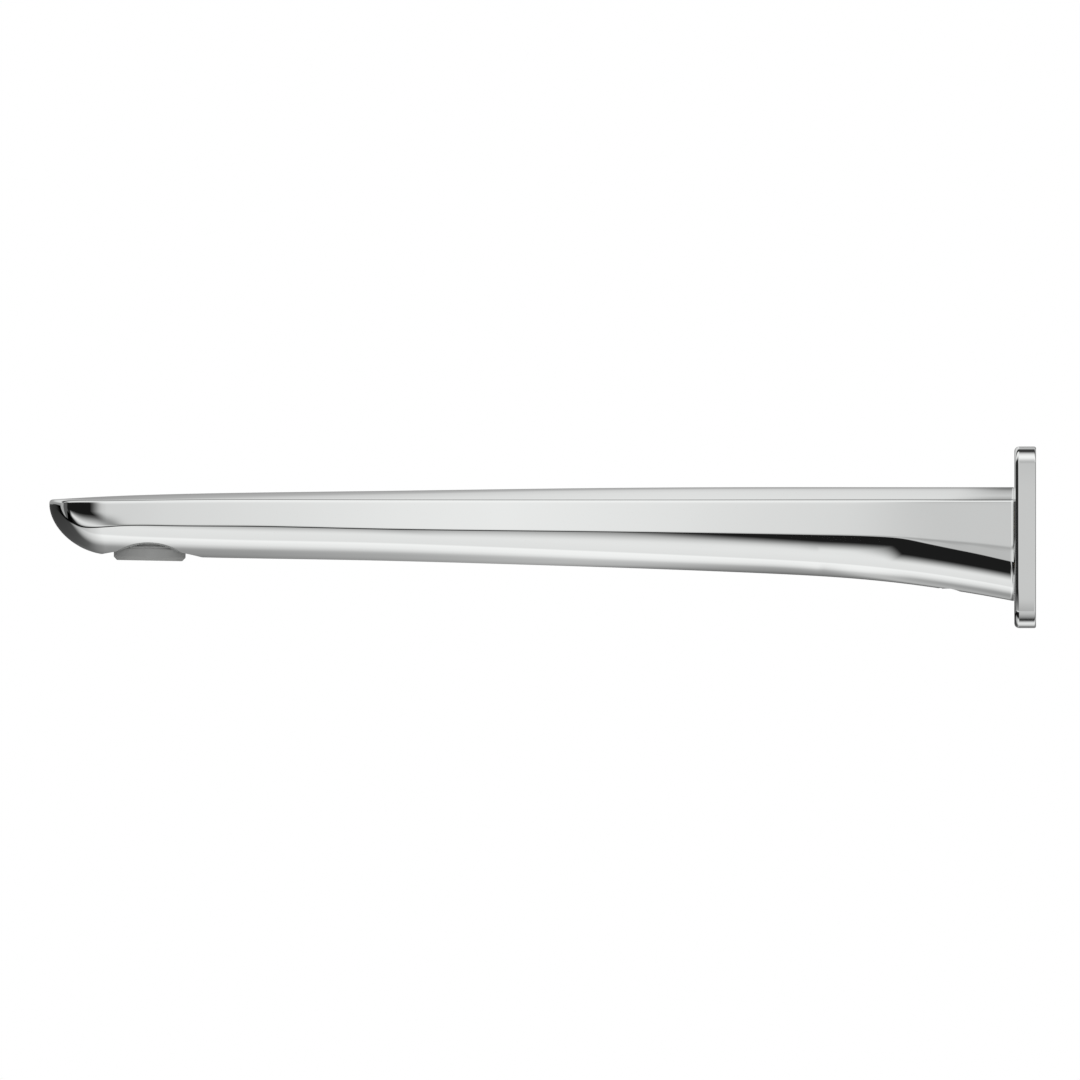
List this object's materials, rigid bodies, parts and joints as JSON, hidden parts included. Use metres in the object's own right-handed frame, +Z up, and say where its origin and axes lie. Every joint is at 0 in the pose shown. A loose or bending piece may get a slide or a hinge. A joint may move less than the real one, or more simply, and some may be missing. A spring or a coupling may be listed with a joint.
{
  "type": "wall mounted bath spout",
  "caption": "Long slim chrome bath spout on a square wall plate, with a round aerator recessed under its tapered boat-shaped tip.",
  "frame": {"origin": "centre of the supply pipe where it leaves the wall, which is also the centre of the wall plate's back", "axes": "+Z up, +Y into the wall, so the spout reaches out along -Y; X runs across it"},
  "size_m": [0.046, 0.25, 0.046],
  "materials": {
    "chrome": "mirror polished",
    "brass": "machined",
    "copper": "drawn, dull",
    "stainless": "satin",
    "aerator_grey": "satin grey",
    "grid_grey": "satin grey",
    "insert_white": "moulded",
    "seal_rubber": "matt",
    "foam": "closed-cell foam"
  },
  "bodies": {
    "spout": {"spout_body": "chrome", "wall_plate": "chrome", "wall_gasket": "foam", "inlet_block": "brass", "pipe_oring_rear": "seal_rubber", "pipe_oring_front": "seal_rubber", "plate_oring": "seal_rubber", "water_tube": "copper", "tube_oring_rear": "seal_rubber", "tube_oring_front": "seal_rubber", "tube_grommet_rear": "foam", "tube_grommet_middle": "foam", "tube_grommet_front": "foam"},
    "aerator_insert": {"aerator_washer": "seal_rubber", "outlet_grid": "grid_grey", "mixing_screen": "stainless", "jet_diffuser": "insert_white", "flow_regulator": "insert_white", "regulator_ring": "seal_rubber", "strainer_dome": "insert_white"},
    "aerator_ring": {"aerator_housing": "aerator_grey"},
    "clamp_screw": {"set_screw": "stainless"}
  },
  "joints": [
    {"name": "aerator_drop", "type": "slide", "parent": "spout", "child": "aerator_insert", "axis": [0, -0.0192, -0.9998], "range_m": [0, 0.004]},
    {"name": "aerator_turn", "type": "hinge", "parent": "aerator_insert", "child": "aerator_ring", "pos_m": [0, -0.2246, -0.0059], "axis": [0, -0.0192, -0.9998], "range_deg": [0, 1440]},
    {"name": "set_screw_travel", "type": "slide", "parent": "spout", "child": "clamp_screw", "axis": [0, 0, -1], "range_m": [0, 0.0032]}
  ],
  "couplings": [
    {"joint": "aerator_turn", "follows": "aerator_drop", "rad_per_m": 6283.2}
  ]
}
